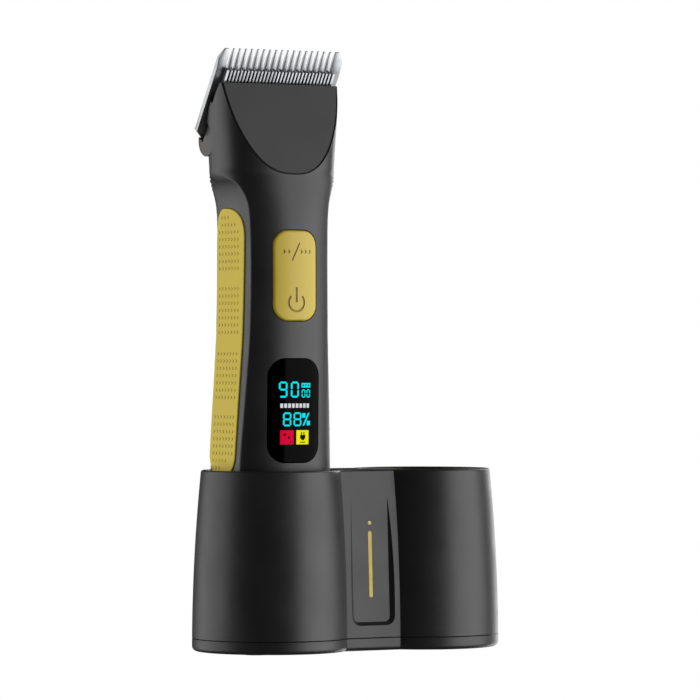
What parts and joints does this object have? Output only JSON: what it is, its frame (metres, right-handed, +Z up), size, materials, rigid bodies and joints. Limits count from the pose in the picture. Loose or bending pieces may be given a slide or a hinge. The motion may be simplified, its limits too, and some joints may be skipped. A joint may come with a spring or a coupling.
{
  "type": "body groomer",
  "caption": "Cordless body groomer with a detachable comb blade, side grips, rocker key and display window, standing in a twin-cup charging stand with a spare well.",
  "frame": {"origin": "middle of the stand's footprint, on the plane of its foot pads", "axes": "+Z up along the handpiece, +X along the row of two cups with the handpiece in the cup at -X, the front with key and display facing -Y"},
  "size_m": [0.118, 0.056, 0.213],
  "materials": {
    "charcoal_plastic": "satin",
    "black_plastic": "satin",
    "yellow_plastic": "satin",
    "yellow_rubber": "matte",
    "black_rubber": "matte",
    "dark_lens": "gloss",
    "light_pipe": "gloss",
    "display_module": "satin",
    "circuit_board": "satin",
    "cream_plastic": "satin",
    "comb_steel": "ground",
    "cutter_steel": "ground",
    "fastener_steel": "plated",
    "spring_steel": "plain",
    "motor_steel": "plated",
    "heel_metal": "satin",
    "frame_alloy": "cast",
    "cell_can": "film wrapped",
    "gold_contact": "plated"
  },
  "bodies": {
    "stand": {"stand_casing": "charcoal_plastic", "stand_base": "charcoal_plastic", "foot_pads": "black_rubber", "base_screws": "fastener_steel", "stand_board": "circuit_board", "pin_blocks": "black_plastic", "power_inlet": "fastener_steel", "indicator_board": "circuit_board", "indicator_bar": "light_pipe", "indicator_dot": "light_pipe"},
    "clipper_pin_pair": {"clipper_pins": "gold_contact"},
    "spare_pin_pair": {"spare_pins": "gold_contact"},
    "handpiece": {"front_casing": "charcoal_plastic", "back_casing": "charcoal_plastic", "head_cover": "charcoal_plastic", "grip_left": "yellow_rubber", "grip_right": "yellow_rubber", "end_cap": "black_plastic", "charge_contacts": "gold_contact", "casing_screws": "fastener_steel", "display_window": "dark_lens", "display_panel": "display_module", "main_board": "circuit_board", "key_switches": "black_plastic", "key_pin": "fastener_steel", "battery_cell": "cell_can", "battery_cradle": "black_plastic", "motor_can": "motor_steel", "motor_end_bell": "cream_plastic", "drive_frame": "frame_alloy", "frame_screws": "fastener_steel", "lever_pin": "fastener_steel", "hinge_pin": "fastener_steel"},
    "drive": {"motor_shaft": "fastener_steel", "crank": "fastener_steel"},
    "lever": {"drive_lever": "cream_plastic"},
    "key": {"rocker_key": "yellow_plastic"},
    "latch": {"latch_button": "black_plastic"},
    "blade_hinge": {"hinge_heel": "heel_metal", "hinge_tongue": "spring_steel"},
    "blade": {"blade_socket": "spring_steel", "comb_blade": "comb_steel", "cutter_guide": "black_plastic", "tension_spring": "spring_steel", "blade_screws": "fastener_steel"},
    "cutter": {"cutter_blade": "cutter_steel"}
  },
  "joints": [
    {"name": "handpiece_lift", "type": "slide", "parent": "stand", "child": "handpiece", "axis": [0, 0, 1], "range_m": [0, 0.06]},
    {"name": "clipper_pins_press", "type": "slide", "parent": "stand", "child": "clipper_pin_pair", "axis": [0, 0, 1], "range_m": [-0.001, 0], "stiffness_N_per_m": 400},
    {"name": "spare_pins_press", "type": "slide", "parent": "stand", "child": "spare_pin_pair", "axis": [0, 0, 1], "range_m": [-0.001, 0], "stiffness_N_per_m": 400},
    {"name": "key_rock", "type": "hinge", "parent": "handpiece", "child": "key", "pos_m": [-0.031, -0.0126, 0.1331], "axis": [1, 0, 0], "range_deg": [-2.2, 2.2], "stiffness_Nm_per_rad": 0.2},
    {"name": "drive_spin", "type": "hinge", "parent": "handpiece", "child": "drive", "pos_m": [-0.031, 0.001, 0.1495], "axis": [0, 0, 1], "continuous": true},
    {"name": "lever_rock", "type": "hinge", "parent": "handpiece", "child": "lever", "pos_m": [-0.031, 0, 0.1595], "axis": [0, 1, 0], "range_deg": [-2.75, 2.75]},
    {"name": "latch_slide", "type": "slide", "parent": "handpiece", "child": "latch", "axis": [0, 0, 1], "range_m": [0, 0.0025], "stiffness_N_per_m": 400},
    {"name": "blade_open", "type": "hinge", "parent": "handpiece", "child": "blade_hinge", "pos_m": [-0.031, 0.00682, 0.18118], "axis": [-1, 0, 0], "range_deg": [0, 35]},
    {"name": "blade_lift_off", "type": "slide", "parent": "blade_hinge", "child": "blade", "axis": [0, -0.565, 0.8251], "range_m": [0, 0.014]},
    {"name": "cutter_stroke", "type": "slide", "parent": "blade", "child": "cutter", "axis": [1, 0, 0], "range_m": [-0.00168, 0.00168]}
  ],
  "couplings": [
    {"joint": "lever_rock", "follows": "cutter_stroke", "rad_per_m": 26.71}
  ]
}
